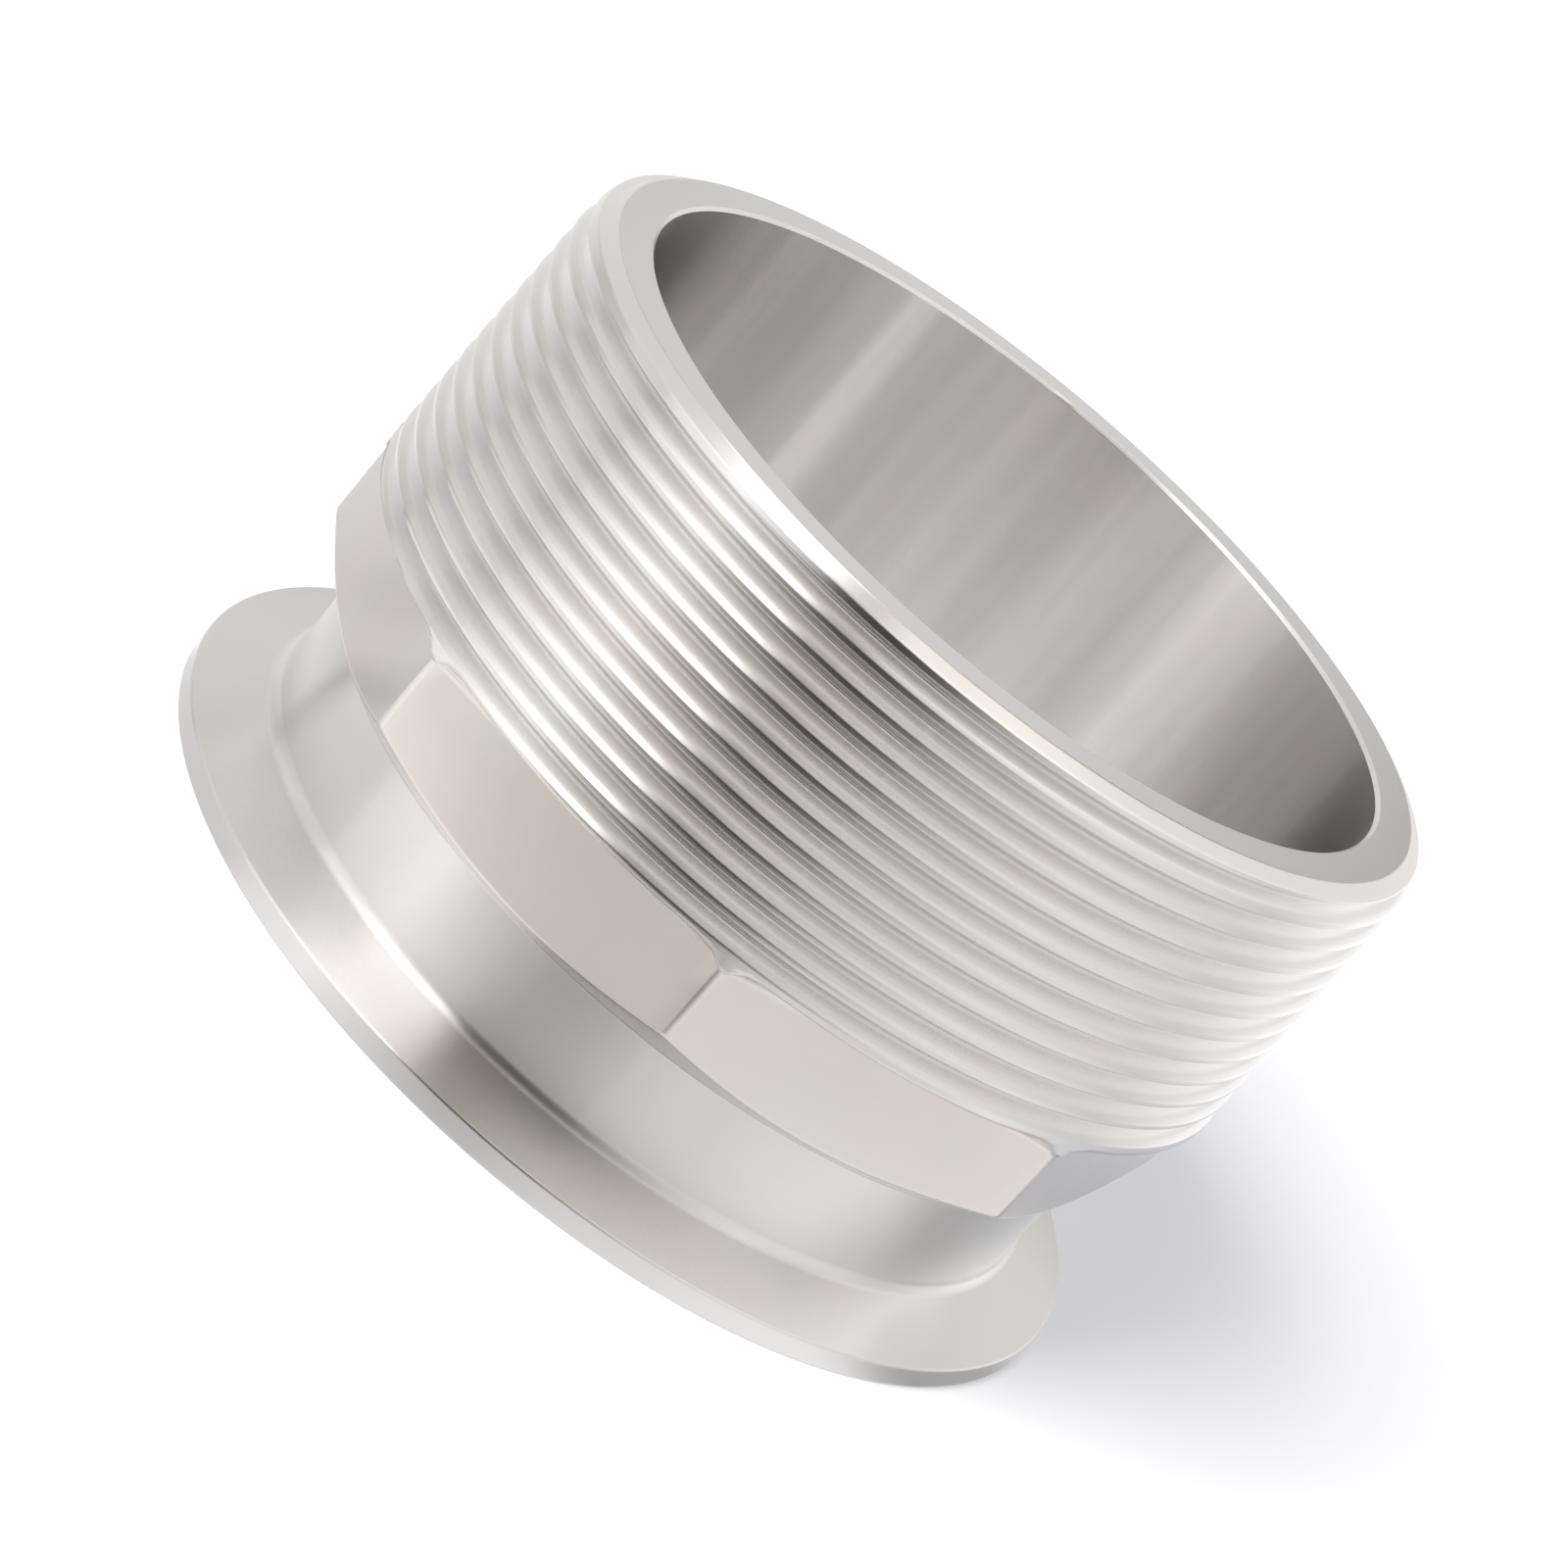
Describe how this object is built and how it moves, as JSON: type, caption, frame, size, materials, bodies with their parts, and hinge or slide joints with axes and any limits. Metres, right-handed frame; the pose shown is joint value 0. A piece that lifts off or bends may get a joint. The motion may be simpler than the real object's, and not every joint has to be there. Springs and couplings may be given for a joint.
{
  "type": "sanitary clamp threaded adapter",
  "caption": "One-piece stainless pipe adapter: hygienic clamp flange at one end, male taper pipe thread at the other, with a wrench collar between and a straight bore.",
  "frame": {"origin": "centre of the clamp flange's flat face, which lies on Z = 0", "axes": "+Z along the bore from the clamp flange to the threaded end, +X through the middle of one wrench flat"},
  "size_m": [0.119, 0.119, 0.0694],
  "materials": {
    "stainless_steel": "satin, turned"
  },
  "bodies": {
    "root": {"adapter_body": "stainless_steel"}
  },
  "joints": []
}
